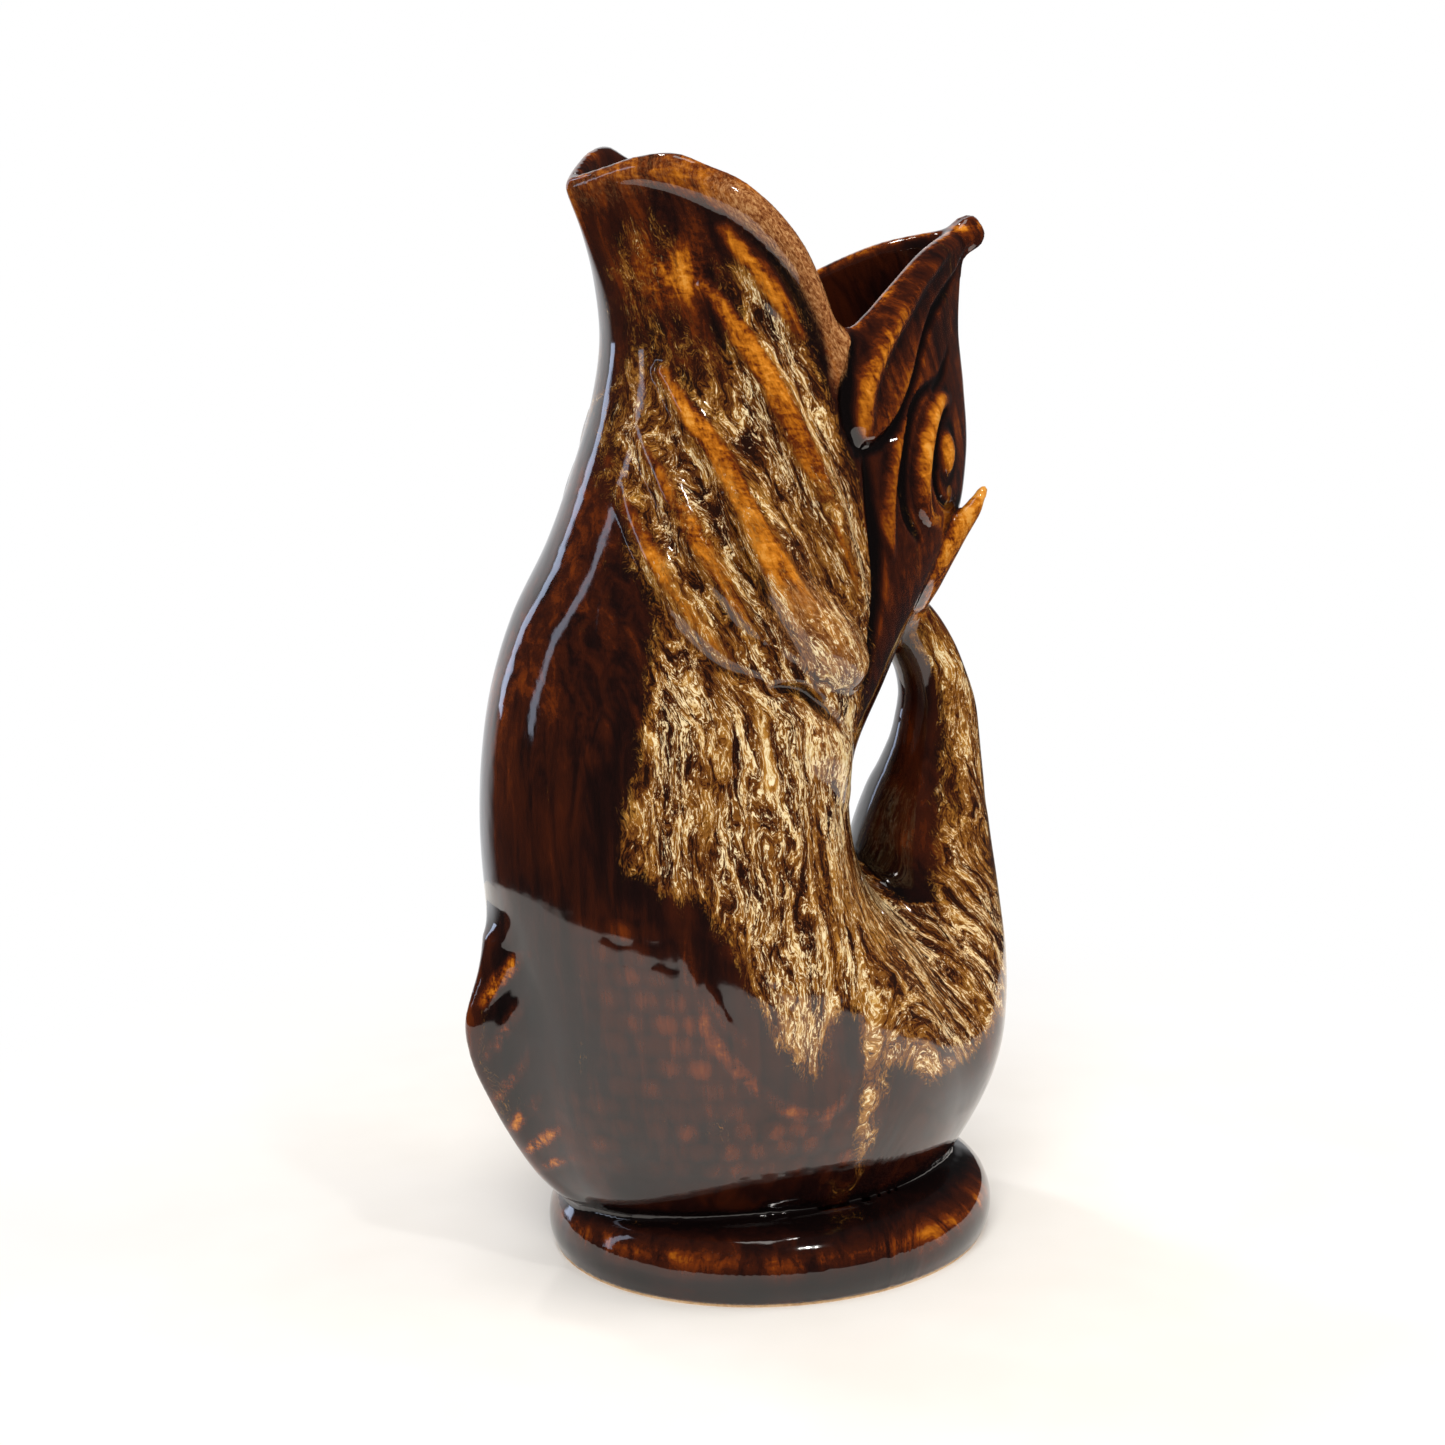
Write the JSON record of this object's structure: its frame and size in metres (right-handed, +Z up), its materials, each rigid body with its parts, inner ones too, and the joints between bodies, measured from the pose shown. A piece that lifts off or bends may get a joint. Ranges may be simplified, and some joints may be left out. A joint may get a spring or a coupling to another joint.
{
  "type": "glug jug",
  "caption": "Tall glazed pottery pouring jug shaped as a standing fish with an open mouth, an oval foot and a hollow tail curled up behind as the handle.",
  "frame": {"origin": "centre of the oval foot on the plane the jug stands on", "axes": "+Z up, the pouring lip looks along -X and the tail handle stands at +X, so Y runs across the fish and the XZ plane is its plane of symmetry"},
  "size_m": [0.138, 0.097, 0.2602],
  "materials": {
    "treacle_glaze": "high-gloss translucent brown glaze, amber where it thins over raised relief, with lacy cream runs down the sides and the tail",
    "bare_clay": "matt unglazed buff fired clay"
  },
  "bodies": {
    "root": {"belly": "treacle_glaze", "belly_fin": "treacle_glaze", "eye_pupil_left": "treacle_glaze", "eye_pupil_right": "treacle_glaze", "eye_ring_left": "treacle_glaze", "eye_ring_right": "treacle_glaze", "foot": "treacle_glaze", "foot_bare_rim": "bare_clay", "gill_ridge_left": "treacle_glaze", "gill_ridge_right": "treacle_glaze", "head": "treacle_glaze", "lip_roll": "treacle_glaze", "pectoral_fin_left": "treacle_glaze", "pectoral_fin_right": "treacle_glaze", "side_fin_left": "treacle_glaze", "side_fin_right": "treacle_glaze", "snout_nub": "treacle_glaze", "tail": "treacle_glaze", "tail_fluke_left": "treacle_glaze", "tail_fluke_right": "treacle_glaze", "upper_lip_left": "treacle_glaze", "upper_lip_right": "treacle_glaze"}
  },
  "joints": []
}
